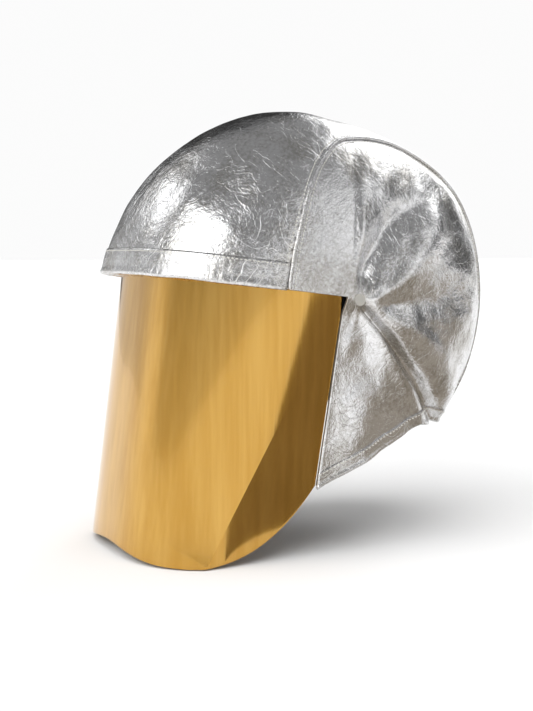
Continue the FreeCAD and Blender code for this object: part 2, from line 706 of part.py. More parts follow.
def make_hood():
    half_gap = seam_gap / 2
    save("crown_panel", place(middle_skin(half_gap, neck_level, brow_level, 0.0, fabric)))
    lining_rear, lining_front = neck_level + lining_margin, brow_level + lining_margin
    save("crown_lining", place(middle_skin(half_gap + bevel_room, lining_rear, lining_front,
                                           lining_outer, hood_wall)))
    post = cylinder(temple_hole, 90, hood_half_width + 5, 0, 0)
    panel = side_skin(half_gap + fabric + bevel_room, 0.2, 0.0, fabric)
    save_pair("side_panel", place(panel.cut(post)))
    seam_margin = half_gap + hood_wall + 3 * bevel_room
    inside = side_skin(seam_margin, lining_margin, lining_outer, hood_wall)
    save_pair("side_lining", place(inside.cut(post)))

    hem_out, hem_in = -fabric - hem_gap, -hem_gap
    beside_piping = piping_width / 2 + 0.4

    def brow_point(u, v, offset):
        def turn_at(angle):
            start = beside_seam(angle, beside_piping)
            return start + v * (math.pi - 2 * start)
        angle = angle_at_level(turn_at, 0.5 + u * brow_hem_height, True)
        return hood_point(angle, turn_at(angle), offset)
    save("brow_hem", place(skin(brow_point, 4, 24, hem_out, hem_in)))

    def neck_point(u, v, offset):
        first = math.atan2(side_front - neck_axis_y, hood_half_width - 6)
        direction = first + v * (math.pi - 2 * first)
        z = neck_level
        for _ in range(8):
            z = neck_height(hood_round(direction, z, offset).y)
        return hood_round(direction, z + u * neck_hem_height, offset)
    save("neck_hem", place(skin(neck_point, 4, 44, hem_out, hem_in)))

    def piping_point(u, v, offset):
        def turn_at(angle):
            return beside_seam(angle, (v - 0.5) * piping_width)
        low = angle_at_level(turn_at, neck_level + neck_hem_height + 4, False)
        high = angle_at_level(turn_at, brow_level, True)
        angle = low + u * (high - low)
        return hood_point(angle, turn_at(angle), offset)
    save_pair("seam_piping", place(skin(piping_point, 40, 2, -piping_height - hem_gap, -hem_gap)))

    under = hood_half_width - hood_wall
    steps = [(rivet_cap, hood_half_width + face_gap, hood_half_width + rivet_cap_height),
             (temple_hole - 0.2, under - 1.2, hood_half_width + 0.5),
             (rivet_cap, under - rivet_cap_height, under - face_gap)]
    rivet = fuse([cylinder(r, a, b, 0, 0) for r, a, b in steps])
    save_pair("temple_rivet", place(rivet))


def window_plan(turn, offset):
    n = window_squareness
    c, s = math.cos(turn), math.sin(turn)
    size = (abs(c)**n + abs(s)**n)**(-1 / n)
    return Vector((window_half_width + offset) * size * c,
                  -window_set_forward - (window_depth + offset) * size * s, 0)


def bent_strip(outer, inner, start, end, z0, z1, steps=28):
    """Upright strip that follows the window's plan."""
    def curve(offset):
        line = Part.BSplineCurve()
        line.interpolate(Points=[window_plan(start + (end - start) * i / steps, offset) + Vector(0, 0, z0)
                                 for i in range(steps + 1)])
        return line.toShape()
    out, back = curve(outer), curve(inner)
    ends = [Part.makeLine(out.Vertexes[i].Point, back.Vertexes[i].Point) for i in (0, -1)]
    wire = Part.Wire(Part.sortEdges([out, ends[1], back, ends[0]])[0])
    return Part.Face(wire).extrude(Vector(0, 0, z1 - z0))


def window_frame(turn, offset):
    """Point on the window's plan and its outward direction."""
    here = window_plan(turn, 0)
    along = window_plan(turn + 0.001, 0) - window_plan(turn - 0.001, 0)
    out = Vector(-along.y, along.x, 0)
    if out.dot(here + Vector(0, window_set_forward, 0)) < 0:
        out = out * -1
    out.normalize()
    return here + out * offset, out


def window_bottom():
    """The sheet's lower edge seen from the side, as (y, z) points from the front to a rear edge."""
    steps = 60
    turns = [math.pi / 2 * (1 - i / steps) for i in range(steps + 1)]
    places = [window_plan(t, 0) for t in turns]
    lengths = [0.0]
    for a, b in zip(places, places[1:]):
        lengths.append(lengths[-1] + (b - a).Length)
    outline = []
    for i in range(0, steps + 1, 4):
        share = lengths[i] / lengths[-1]
        rise = (window_corner_rise + window_sag) * share**4.5
        outline.append((places[i].y, rise - window_height - window_sag * share**2))
    return outline


rim_low, rim_high = 5.0, 17.0
rim_wall = 1.2
rim_screw_turns = [30.0, 62.0, 90.0, 118.0, 150.0]
rim_screw_radius = 1.5
rim_screw_head = 3.4
nut_radius = 3.2
nut_end = 2.9
nut_gap = 0.45             # the skirt behind a nut is hollow


def make_window():
    sheet = bent_strip(0.0, -window_wall, 0.0, math.pi, -window_height - 40, window_overlap)
    outline = window_bottom()
    front, rear = outline[0], outline[-1]
    edge = Part.BSplineCurve()
    edge.interpolate(Points=[Vector(-200, y, z) for y, z in outline])
    bottom = -window_height - 60
    path = [rear, (rear[0] + 20, rear[1]), (rear[0] + 20, bottom),
            (front[0] - 20, bottom), (front[0] - 20, front[1]), front]
    corners = [Vector(-200, y, z) for y, z in path]
    wire = Part.Wire([edge.toShape()] + [Part.makeLine(a, b) for a, b in zip(corners, corners[1:])])
    sheet = sheet.cut(Part.Face(wire).extrude(Vector(400, 0, 0)))
    rim = bent_strip(rim_wall + face_gap, face_gap, rad(12), rad(168), rim_low, rim_high)
    height = (rim_low + rim_high) / 2
    holes, screws, nuts = [], [], []
    back = -window_wall - guard_wall
    for turn in rim_screw_turns:
        here, out = window_frame(rad(turn), 0.0)
        here.z = height

        def rod(radius, start, end):
            return Part.makeCylinder(radius, end - start, here + out * start, out)
        holes.append(rod(rim_screw_radius + 0.2, -12, 8))
        face = rim_wall + 0.25
        screws.append(fuse([rod(rim_screw_head, face, face + 1.2),
                            rod(rim_screw_radius, back - nut_end - 0.3, face + 0.6)]))
        nut = rod(nut_radius, back - nut_end, back - nut_gap)
        nuts.append(nut.cut(rod(rim_screw_radius + face_gap, -12, 8)))
    holes = Part.makeCompound(holes)
    save("window", place(sheet.cut(holes)))
    save("window_rim", place(rim.cut(holes)))
    save("rim_screws", place(Part.makeCompound(screws)))
    save("rim_nuts", place(Part.makeCompound(nuts)))
    return holes


guard_crown_angle = 118.0
guard_edge = 0.62          # turn at which the dome's side edges start
ledge_level = 19.5
skirt_bottom = 2.0
arm_start = 30.0           # ahead of the pivot
arm_end = 18.0
arm_eye = 12.0
strip_edge = 0.95          # turn at which the hook-and-loop pair starts
strip_rise = 6.0
strip_height = 18.0


def make_guard(holes):
    def dome_point(u, v, offset):
        turn = guard_edge + v * (math.pi - 2 * guard_edge)
        low = solve(lambda a: ledge_level - hood_point(a, turn, 0).z, *brow_angles)
        return hood_point(low + u * (guard_crown_angle - low), turn, offset)
    inner = guard_gap + guard_wall
    dome = skin(dome_point, 12, 22, guard_gap, inner)

    # the skirt lies inside the window, and the ledge joins it to the wider dome
    end = (arm_end - window_set_forward) / window_half_width
    back = -window_wall - face_gap
    skirt = bent_strip(back, back - guard_wall, end, math.pi - end,
                       skirt_bottom, ledge_level + guard_wall, steps=36)
    steps = 24
    outer_points = [dome_point(0.02, i / steps, guard_gap + guard_wall / 2) for i in range(steps + 1)]
    for p in outer_points:
        p.z = ledge_level
    first = outer_points[0]
    start = solve(lambda t: first.y - window_plan(t, back - guard_wall / 2).y, 0.05, math.pi / 2)
    inner_points = [window_plan(math.pi - start - (math.pi - 2 * start) * i / steps, back - guard_wall / 2)
                    + Vector(0, 0, ledge_level) for i in range(steps + 1)]
    lines = []
    for points in (outer_points, inner_points):
        line = Part.BSplineCurve()
        line.interpolate(Points=points)
        lines.append(line.toShape())
    lines.append(Part.makeLine(outer_points[-1], inner_points[0]))
    lines.append(Part.makeLine(inner_points[-1], outer_points[0]))
    ledge = Part.Face(Part.Wire(Part.sortEdges(lines)[0])).extrude(Vector(0, 0, guard_wall))

    skirt_inside = window_half_width - window_wall - guard_wall
    side = []
    for way in (1, -1):
        jog = block(arm_inner, skirt_inside + 1.2, -arm_start, -arm_end, skirt_bottom, ledge_level)
        arm = plate([(-arm_start, skirt_bottom), (-3.0, 0.4 - arm_eye), (3.0, arm_eye - 0.4),
                     (-arm_start, ledge_level)], arm_inner, arm_outer)
        eye = cylinder(arm_eye, arm_inner, arm_outer, 0, 0)
        lug = block(arm_inner, arm_outer, 0, stop_pin_reach + 3.0, -4.0, 4.0)
        pin = cylinder(stop_pin_radius, bracket_outer + 0.8, arm_inner + 1.0, stop_pin_reach, 0)
        bore = cylinder(bolt_radius + shaft_fit, arm_inner - 5, arm_outer + 5, 0, 0)
        piece = fuse([jog, arm, eye, lug, pin]).cut(bore)
        side.append(piece if way > 0 else mirrored(piece))
    guard = fuse([skirt, ledge, dome] + side).cut(holes)
    save("crown_guard", place(guard))

    # hook-and-loop pair that holds the hood's brow to the guard
    def strip_point(u, v, offset):
        turn = strip_edge + v * (math.pi - 2 * strip_edge)
        level = ledge_level + strip_rise + strip_height * u
        angle = solve(lambda a: level - hood_point(a, turn, 0).z, *brow_angles)
        return hood_point(angle, turn, offset)
    middle = (hood_wall + guard_gap) / 2
    save("loop_strip", place(skin(strip_point, 4, 16, hood_wall + 0.1, middle - 0.05)))
    save("hook_strip", place(skin(strip_point, 4, 16, middle + 0.05, guard_gap - 0.1)))


os.makedirs("parts", exist_ok=True)
make_band()
make_pads()
make_housing()
make_ratchet()
make_crown_straps()
make_pivots()
make_hood()
make_guard(make_window())
print("rack travel", round(rack_travel, 3), "pitch", round(rack_pitch, 4))
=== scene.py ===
import bpy
import bmesh
import json
import math
from mathutils import Matrix, Vector, noise


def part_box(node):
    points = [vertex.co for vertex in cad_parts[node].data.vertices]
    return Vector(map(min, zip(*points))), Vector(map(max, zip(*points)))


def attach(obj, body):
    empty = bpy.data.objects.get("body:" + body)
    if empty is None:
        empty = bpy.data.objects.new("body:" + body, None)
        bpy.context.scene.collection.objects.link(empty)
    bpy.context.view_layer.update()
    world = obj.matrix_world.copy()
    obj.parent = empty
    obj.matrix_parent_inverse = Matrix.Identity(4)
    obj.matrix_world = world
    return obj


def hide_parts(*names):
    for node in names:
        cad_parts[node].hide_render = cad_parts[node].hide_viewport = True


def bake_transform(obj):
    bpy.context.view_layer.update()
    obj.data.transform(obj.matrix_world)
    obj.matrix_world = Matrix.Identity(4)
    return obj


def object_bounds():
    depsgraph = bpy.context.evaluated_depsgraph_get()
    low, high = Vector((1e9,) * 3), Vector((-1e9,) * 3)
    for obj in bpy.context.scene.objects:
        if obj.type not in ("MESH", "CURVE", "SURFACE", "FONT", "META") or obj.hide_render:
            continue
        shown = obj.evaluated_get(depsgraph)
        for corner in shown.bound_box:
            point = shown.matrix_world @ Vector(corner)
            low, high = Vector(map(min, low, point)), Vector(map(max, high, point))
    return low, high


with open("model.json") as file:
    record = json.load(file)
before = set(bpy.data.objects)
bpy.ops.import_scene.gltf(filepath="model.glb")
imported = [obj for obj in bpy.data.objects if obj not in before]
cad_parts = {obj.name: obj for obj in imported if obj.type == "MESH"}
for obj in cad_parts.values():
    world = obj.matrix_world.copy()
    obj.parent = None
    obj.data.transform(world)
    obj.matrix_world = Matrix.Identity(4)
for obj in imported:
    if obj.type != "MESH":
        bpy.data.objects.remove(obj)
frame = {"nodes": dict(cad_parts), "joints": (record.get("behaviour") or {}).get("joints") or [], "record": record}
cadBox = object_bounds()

nodes = frame["nodes"]
mm = 0.001

# the shield is worked out level round its pivot, and levelToRow tips it to where it rests
tiltJoint = next(j for j in frame["joints"] if j["name"] == "shield_tilt")
pivot = Vector(tiltJoint["pos_m"])
restTilt = math.radians(7.1)
levelToRow = Matrix.Translation(pivot) @ Matrix.Rotation(-restTilt, 4, "X")


class Wire:
    # one socket; arithmetic on it adds Math nodes
    def __init__(self, finish, socket):
        self.finish = finish
        self.socket = socket

    def calc(self, operation, *values):
        return self.finish.node("Math", {"operation": operation}, dict(enumerate(values)))

    def __add__(self, other):
        return self.calc("ADD", self, other)

    def __sub__(self, other):
        return self.calc("SUBTRACT", self, other)

    def __rsub__(self, other):
        return self.calc("SUBTRACT", other, self)

    def __mul__(self, other):
        return self.calc("MULTIPLY", self, other)

    __radd__ = __add__
    __rmul__ = __mul__


class Finish:
    # a node tree that is filled in node by node
    def __init__(self, tree):
        self.tree = tree

    def node(self, kind, settings=None, sockets=None, out=0):
        made = self.tree.nodes.new("ShaderNode" + kind)
        for key, value in (settings or {}).items():
            if key == "stops":
                ramp = made.color_ramp.elements
                while len(ramp) < len(value):
                    ramp.new(0.5)
                for stop, (place, colour) in zip(ramp, value):
                    stop.position = place
                    stop.color = (*colour, 1.0)
            else:
                setattr(made, key, value)
        for key, value in (sockets or {}).items():
            self.plug(made.inputs[key], value)
        return Wire(self, made.outputs[out])

    def plug(self, socket, value):
        if isinstance(value, Wire):
            self.tree.links.new(value.socket, socket)
        else:
            socket.default_value = value

    def blendColours(self, factor, first, second):
        return self.node("Mix", {"data_type": "RGBA"}, {0: factor, 6: first, 7: second}, 2)

    def noiseAt(self, place, scale, detail=3.0, rough=0.55, warp=0.0):
        return self.node("TexNoise", {}, {"Vector": place, "Scale": scale, "Detail": detail,
                                          "Roughness": rough, "Distortion": warp})

    def steps(self, value, low, high):
        return self.node("MapRange", {"interpolation_type": "SMOOTHSTEP"},
                         {0: value, 1: low, 2: high, 3: 0.0, 4: 1.0})


def newFinish(name, settings):
    material = bpy.data.materials.new(name)
    material.use_nodes = True
    finish = Finish(material.node_tree)
    finish.material = material
    finish.shader = material.node_tree.nodes["Principled BSDF"]
    for key, value in settings.items():
        finish.shader.inputs[key].default_value = value
    return finish


def wear(finish, values):
    for key, value in values.items():
        finish.plug(finish.shader.inputs[key], value)
    return finish.material


def objectPlace(finish, stretch=(1, 1, 1)):
    place = finish.node("TexCoord", out=3)
    return finish.node("Mapping", {}, {"Vector": place, "Scale": stretch})


foil = {
    "bright": (0.84, 0.84, 0.85, 1), "dull": (0.58, 0.565, 0.54, 1),
    "crinkleSize": 10 * mm, "creaseSize": 26 * mm, "grainSize": 2.6 * mm, "threadPitch": 0.9 * mm,
}


def makeFoilCloth(name, rough):
    # aluminised cloth: bright film with soft crinkles, sharp creases and a fine weave under it
    finish = newFinish(name, {"Metallic": 1.0, "Specular IOR Level": 0.5})
    place = finish.node("Attribute", {"attribute_name": "restPlace"}, out=1)
    crinkle = finish.noiseAt(place, 1 / foil["crinkleSize"], 5.0, 0.62, 0.4)
    grain = finish.noiseAt(place, 1 / foil["grainSize"], 3.0, 0.6)
    fold = finish.noiseAt(place, 1 / foil["creaseSize"], 2.0, 0.5, 1.2)
    nearFold = fold.calc("ABSOLUTE", fold - 0.5)
    crease = finish.steps(nearFold, 0.0, 0.022)
    second = finish.noiseAt(place, 1.7 / foil["creaseSize"], 2.0, 0.5, 0.8)
    creaseTwo = finish.steps(second.calc("ABSOLUTE", second - 0.47), 0.0, 0.016)
    cut = finish.node("UVMap", {"uv_map": "cut"})
    thread = math.tau / foil["threadPitch"]
    weft, warp = (finish.node("SeparateXYZ", {}, {0: cut}, i) * thread for i in (0, 1))
    weave = weft.calc("SINE", weft) * warp.calc("SINE", warp)
    broad = finish.noiseAt(place, 26.0, 2.0)
    height = crinkle * 1.5 + grain * 0.36 + crease * 0.16 + creaseTwo * 0.10 + weave * 0.02
    bump = finish.node("Bump", {}, {"Strength": 0.6, "Distance": 1.0 * mm, "Height": height})
    worn = finish.steps(broad * 0.6 + grain * 0.4, 0.42, 0.66)
    return wear(finish, {
        "Base Color": finish.blendColours(worn, foil["bright"], foil["dull"]),
        "Roughness": rough + grain * 0.10 + (1 - crease) * 0.06,
        "Normal": bump})


def makeGold():
    # gold coating on a clear sheet, with faint streaks down it
    finish = newFinish("goldCoating", {"Metallic": 1.0, "Coat Weight": 0.6, "Coat Roughness": 0.04})
    streakPlace = objectPlace(finish, (1.0, 1.0, 0.035))
    streak = finish.noiseAt(streakPlace, 190.0, 4.0, 0.6)
    wide = finish.noiseAt(streakPlace, 32.0, 2.0)
    smudge = finish.noiseAt(objectPlace(finish), 18.0, 3.0)
    tone = finish.steps(streak * 0.5 + wide * 0.5, 0.32, 0.68)
    colour = finish.blendColours(tone, (0.54, 0.285, 0.040, 1), (0.66, 0.385, 0.085, 1))
    bump = finish.node("Bump", {}, {"Strength": 0.10, "Distance": 0.5 * mm,
                                    "Height": streak * 0.6 + wide * 0.6})
    return wear(finish, {"Base Color": colour, "Roughness": 0.08 + smudge * 0.08, "Normal": bump})


def makeMoulded(name, colour, rough, grain=650.0):
    finish = newFinish(name, {"Specular IOR Level": 0.45})
    place = objectPlace(finish)
    grainNoise = finish.noiseAt(place, grain, 2.0)
    scuff = finish.steps(finish.noiseAt(place, 70.0, 5.0, 0.65), 0.52, 0.75)
    lighter = tuple(min(1, c * 1.7 + 0.015) for c in colour[:3]) + (1,)
    bump = finish.node("Bump", {}, {"Strength": 0.25, "Distance": 0.15 * mm, "Height": grainNoise})
    return wear(finish, {"Base Color": finish.blendColours(scuff * 0.5, colour, lighter),
                         "Roughness": rough + scuff * 0.15 + grainNoise * 0.08, "Normal": bump})


def makeZinc():
    finish = newFinish("zincPlate", {"Metallic": 1.0})
    place = objectPlace(finish)
    cloud = finish.noiseAt(place, 160.0, 3.0)
    lines = finish.noiseAt(objectPlace(finish, (1, 1, 14)), 260.0, 2.0)
    bump = finish.node("Bump", {}, {"Strength": 0.2, "Distance": 0.1 * mm, "Height": lines})
    colour = finish.blendColours(cloud, (0.60, 0.61, 0.62, 1), (0.78, 0.75, 0.66, 1))
    return wear(finish, {"Base Color": colour,
                         "Roughness": 0.24 + lines * 0.2, "Normal": bump})


def makeWoven(name, colour, second, pitch, rough=0.9, lift=0.4):
    # plain woven cloth: over and under threads read from the cut sheet's own coordinates
    finish = newFinish(name, {"Sheen Weight": 0.25, "Sheen Roughness": 0.4, "Specular IOR Level": 0.2})
    cut = finish.node("UVMap", {"uv_map": "cut"})
    across = finish.node("SeparateXYZ", {}, {0: cut}, 0)
    along = finish.node("SeparateXYZ", {}, {0: cut}, 1)
    one = across.calc("SINE", (across + along) * (math.tau / pitch))
    two = across.calc("SINE", (across - along) * (math.tau / pitch))
    weave = (one * two) * 0.5 + 0.5
    cloud = finish.noiseAt(finish.node("Attribute", {"attribute_name": "restPlace"}, out=1), 45.0, 4.0)
    bump = finish.node("Bump", {}, {"Strength": lift, "Distance": 0.3 * mm,
                                    "Height": weave * 0.7 + cloud * 0.5})
    return wear(finish, {"Base Color": finish.blendColours(weave * 0.5 + cloud * 0.5, colour, second),
                         "Roughness": rough - weave * 0.08, "Normal": bump})


def makeFuzzy(name, colour, second, scale):
    finish = newFinish(name, {"Sheen Weight": 0.5, "Sheen Roughness": 0.5, "Specular IOR Level": 0.1})
    place = objectPlace(finish)
    tuft = finish.noiseAt(place, scale, 3.0)
    bump = finish.node("Bump", {}, {"Strength": 0.6, "Distance": 0.4 * mm, "Height": tuft})
    return wear(finish, {"Base Color": finish.blendColours(tuft, colour, second),
                         "Roughness": 0.85 + tuft * 0.1, "Normal": bump})


print("materials")
foilCloth = makeFoilCloth("foilCloth", 0.14)
foilHem = makeFoilCloth("foilHem", 0.20)
goldCoating = makeGold()
liningCloth = makeWoven("liningCloth", (0.10, 0.09, 0.075, 1), (0.21, 0.19, 0.15, 1), 1.3 * mm)
padCloth = makeWoven("padCloth", (0.05, 0.05, 0.055, 1), (0.12, 0.12, 0.13, 1), 0.9 * mm, 0.92, 0.5)
threadGrey = makeFuzzy("threadGrey", (0.62, 0.60, 0.55, 1), (0.78, 0.76, 0.70, 1), 2500.0)
blackNylon = makeMoulded("blackNylon", (0.018, 0.018, 0.020, 1), 0.38)
guardNylon = makeMoulded("guardNylon", (0.032, 0.031, 0.030, 1), 0.45, 420.0)
knobNylon = makeMoulded("knobNylon", (0.012, 0.012, 0.013, 1), 0.50, 900.0)
fibre = makeMoulded("pressedFibre", (0.20, 0.09, 0.04, 1), 0.7)
hookTape = makeFuzzy("hookTape", (0.010, 0.010, 0.010, 1), (0.05, 0.05, 0.05, 1), 1400.0)
zincPlate = makeZinc()

nodeFinishes = {
    "band_plastic": blackNylon, "guard_plastic": guardNylon, "knob_plastic": knobNylon,
    "zinc_steel": zincPlate, "washer_fibre": fibre, "hook_loop": hookTape,
}
for row in frame["record"]["subparts"]:
    finishOfNode = nodeFinishes.get(row["material_slot"])
    if finishOfNode:
        nodes[row["node"]].data.materials.clear()
        nodes[row["node"]].data.materials.append(finishOfNode)


def smoothThrough(table):
    # smooth curve through (angle, value) pairs
    xs, ys = zip(*table)
    last = len(xs) - 1
    slopes = [(ys[min(i + 1, last)] - ys[max(i - 1, 0)]) / (xs[min(i + 1, last)] - xs[max(i - 1, 0)])
              for i in range(last + 1)]

    def at(x):
        x = min(max(x, xs[0]), xs[-1])
        i = max(k for k in range(last) if xs[k] <= x)
        h = xs[i + 1] - xs[i]
        t = (x - xs[i]) / h
        return ((1 + 2 * t) * (1 - t)**2 * ys[i] + t * (1 - t)**2 * h * slopes[i]
                + t * t * (3 - 2 * t) * ys[i + 1] + t * t * (t - 1) * h * slopes[i + 1])
    return at


def smoothstep(x, low, high):
    t = min(max((x - low) / (high - low), 0.0), 1.0)
    return t * t * (3 - 2 * t)


def solve(function, low, high):
    # root of a rising function by halving
    for _ in range(36):
        middle = (low + high) / 2
        if function(middle) > 0:
            high = middle
        else:
            low = middle
    return (low + high) / 2


def makePiece(name, mesh, finish, smooth=True):
    data = bpy.data.meshes.new(name)
    mesh.to_mesh(data)
    mesh.free()
    if smooth:
        data.polygons.foreach_set("use_smooth", [True] * len(data.polygons))
    piece = bpy.data.objects.new(name, data)
    bpy.context.scene.collection.objects.link(piece)
    data.materials.append(finish)
    return piece


def keepRestPlace(piece):
    # cloth patterns follow the cloth, so they read where each point was at rest
    places = piece.data.attributes.new("restPlace", "FLOAT_VECTOR", "POINT")
    places.data.foreach_set("vector", [c for v in piece.data.vertices for c in v.co])


def faceOutwards(mesh, centre):
    mesh.normal_update()
    if sum((f.calc_center_median() - centre).dot(f.normal) * f.calc_area() for f in mesh.faces) < 0:
        bmesh.ops.reverse_faces(mesh, faces=mesh.faces)


def laySheet(name, columns, rows, place, finish, size, inside=None, merge=False, wall=0.0):
    # a grid laid where place(across, along) says; size is its cut size, for the weave
    mesh = bmesh.new()
    cut = mesh.loops.layers.uv.new("cut")
    bmesh.ops.create_grid(mesh, x_segments=columns, y_segments=rows, size=0.5)
    for face in mesh.faces:
        for loop in face.loops:
            loop[cut].uv = ((loop.vert.co.x + 0.5) * size[0], (loop.vert.co.y + 0.5) * size[1])
    for vert in mesh.verts:
        vert.co = place(vert.co.x + 0.5, vert.co.y + 0.5)
    if merge:
        bmesh.ops.remove_doubles(mesh, verts=mesh.verts, dist=0.02 * mm)
    faceOutwards(mesh, inside or levelToRow @ Vector((0, 0, 0)))
    piece = makePiece(name, mesh, finish)
    keepRestPlace(piece)
    if wall:
        thick = piece.modifiers.new("wall", "SOLIDIFY")
        thick.thickness = wall
        thick.offset = -1.0
        thick.use_even_offset = False
    return piece


def tubeAlong(name, points, radius, finish, sides=3):
    # round bead along a line, made a mesh
    line = bpy.data.curves.new(name, "CURVE")
    line.dimensions = "3D"
    line.bevel_depth = radius
    line.bevel_resolution = sides
    line.use_fill_caps = True
    spline = line.splines.new("POLY")
    spline.points.add(len(points) - 1)
    for knot, point in zip(spline.points, points):
        knot.co = (*point, 1)
    carrier = bpy.data.objects.new(name + "Line", line)
    bpy.context.scene.collection.objects.link(carrier)
    data = bpy.data.meshes.new_from_object(carrier)
    bpy.data.objects.remove(carrier)
    mesh = bmesh.new()
    mesh.from_mesh(data)
    bpy.data.meshes.remove(data)
    bmesh.ops.remove_doubles(mesh, verts=mesh.verts, dist=0.01 * mm)
    bmesh.ops.recalc_face_normals(mesh, faces=mesh.faces)
    if not mesh.loops.layers.uv.active:
        mesh.loops.layers.uv.new("cut")
    piece = makePiece(name, mesh, finish)
    piece.data.uv_layers[0].name = "cut"
    keepRestPlace(piece)
    return piece


def sewStitches(name, lines, pitch=3.2 * mm, length=2.3 * mm, thread=0.42 * mm):
    # short raised threads at even steps along lines of (place, outward) pairs
    mesh = bmesh.new()
    for line in lines:
        left = pitch / 2
        for (a, outA), (b, outB) in zip(line, line[1:]):
            span = (b - a).length
            while left < span:
                share = left / span
                middle, along = a.lerp(b, share), (b - a).normalized()
                out = outA.lerp(outB, share).normalized()
                side = along.cross(out).normalized()
                turn = Matrix((along, side, along.cross(side) * -1)).transposed().to_4x4()
                shape = Matrix.Diagonal((length / 2, thread, thread * 0.8, 1))
                lay = Matrix.Translation(middle + out * thread * 0.3) @ turn @ shape
                bmesh.ops.create_icosphere(mesh, subdivisions=1, radius=1.0, matrix=lay)
                left += pitch
            left -= span
    return makePiece(name, mesh, threadGrey)


# the hood's shape, level and round the pivot
hood = {
    "halfWidth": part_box("side_panel_left")[1].x,
    "reach": [(-205, 150), (-180, 150), (-150, 190), (-120, 290), (-90, 300), (-62, 205), (-38, 167),
              (-15, 165), (10, 166), (40, 165), (62, 154), (85, 148), (105, 151), (130, 150), (155, 148),
              (180, 150), (205, 150)],
    "square": [(-205, 3.2), (-180, 3.2), (-150, 2.9), (-120, 2.5), (-90, 2.43), (-40, 2.43), (40, 2.43),
               (80, 2.43), (110, 2.46), (130, 2.6), (155, 2.95), (180, 3.2), (205, 3.2)],
    "seam": [(-60, 0.93), (-35, 0.93), (0, 0.93), (40, 0.925), (65, 0.915), (80, 0.88), (94, 0.825),
             (101, 0.77), (109, 0.70), (117, 0.625), (127, 0.545), (139, 0.48), (150, 0.445), (165, 0.41),
             (185, 0.39)],
    "neckLevel": -91 * mm, "capeDrop": 54 * mm, "capeSag": 5 * mm, "frontEdge": -10 * mm, "browLevel": 1 * mm,
    "wall": 1.2 * mm, "liningGap": 1.4 * mm, "liningWall": 1.0 * mm,
    "panelWidth": 160 * mm, "panelLength": 480 * mm, "puckerPitch": 17 * mm, "puckerDepth": 0.45 * mm,
}
reachAt = smoothThrough([(a, r * mm) for a, r in hood["reach"]])
squareAt = smoothThrough(hood["square"])
seamAt = smoothThrough(hood["seam"])


def hoodPoint(angle, turn, offset=0.0):
    # angle of the section about the pivot axis from straight back, then turn within it from +X
    n = squareAt(angle)
    c, s = math.cos(turn), math.sin(turn)
    size = (abs(c)**n + abs(s)**n)**(-1 / n)
    r = (reachAt(angle) - offset) * size * s
    a = math.radians(angle)
    return Vector(((hood["halfWidth"] - offset) * size * c, r * math.cos(a), r * math.sin(a)))


def sidePoint(y, z, offset=0.0):
    # point of the left side, seen from the side
    angle = math.degrees(math.atan2(z, y))
    n = squareAt(angle)
    share = min(math.hypot(y, z) / (reachAt(angle) - offset), 0.985)
    return Vector(((hood["halfWidth"] - offset) * (1 - share**n)**(1 / n), y, z))


def seamTurn(angle, beside=0.0):
    n, q = squareAt(angle), seamAt(angle)
    turn = math.atan2(q, (1 - q**n)**(1 / n))
    along = (hoodPoint(angle, turn + 0.001) - hoodPoint(angle, turn)).length / 0.001
    return turn + beside / along


def seamShare(y, z):
    # 0 at the pivot and 1 at the shoulder seam
    angle = math.degrees(math.atan2(z, y))
    return math.hypot(y, z) / (reachAt(angle) * seamAt(angle))


def neckHeight(y):
    share = max(0.0, (80 * mm - y) / (90 * mm))
    sag = hood["capeSag"] * math.sin(math.pi * min(share, 1.0))
    return hood["neckLevel"] - hood["capeDrop"] * share**1.4 - sag


def ripple(point, size, depth, seed=0.0):
    return depth * noise.noise(point / size + Vector((seed, seed * 1.7, -seed)))


# the window, as a flat sheet bent round the face: distances along it from its left edge
window = {
    "halfWidth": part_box("window")[1].x, "depth": 125 * mm, "square": 2.8, "setForward": 11 * mm,
    "height": 209 * mm, "top": 19 * mm, "sag": 12 * mm, "rise": 66 * mm, "middleLift": 5 * mm,
    "wall": 1.5 * mm, "creaseFoot": 84 * mm, "fold": 11 * mm, "settle": 75 * mm,
}


def windowPlan(turn):
    n = window["square"]
    c, s = math.cos(turn), math.sin(turn)
    size = (abs(c)**n + abs(s)**n)**(-1 / n)
    return Vector((window["halfWidth"] * size * c, -window["setForward"] - window["depth"] * size * s, 0))


planSteps = 720
planPoints = [windowPlan(math.pi * i / planSteps) for i in range(planSteps + 1)]
planLengths = [0.0]
for a, b in zip(planPoints, planPoints[1:]):
    planLengths.append(planLengths[-1] + (b - a).length)
halfFlat = planLengths[-1] / 2


def planAt(s):
    # plan point at a distance along the flat sheet, from the left rear edge
    s = min(max(s, 0.0), planLengths[-1] - 1e-9)
    low, high = 0, planSteps
    while high - low > 1:
        middle = (low + high) // 2
        if planLengths[middle] <= s:
            low = middle
        else:
            high = middle
    share = (s - planLengths[low]) / (planLengths[high] - planLengths[low])
    return planPoints[low].lerp(planPoints[high], share)


def windowBottom(s):
    share = abs(s - halfFlat) / halfFlat
    lift = window["middleLift"] * (1 - smoothstep(share, 0, 0.38))
    return lift - window["height"] - window["sag"] * share**2 + (window["rise"] + window["sag"]) * share**4.5


creaseTop = Vector((0.0, 0.0))
creaseFoot = Vector((window["creaseFoot"], windowBottom(window["creaseFoot"])))
creaseWay = creaseFoot.normalized()
rearCorner = Vector((0.0, windowBottom(0.0)))


def bentPlace(s, z):
    # the plain bent sheet
    p = planAt(s)
    return Vector((p.x, p.y, z))


footPlace = bentPlace(*creaseFoot)
cornerPlace = bentPlace(*rearCorner) - Vector((window["fold"], 0, 0))
topPlace = bentPlace(*creaseTop)


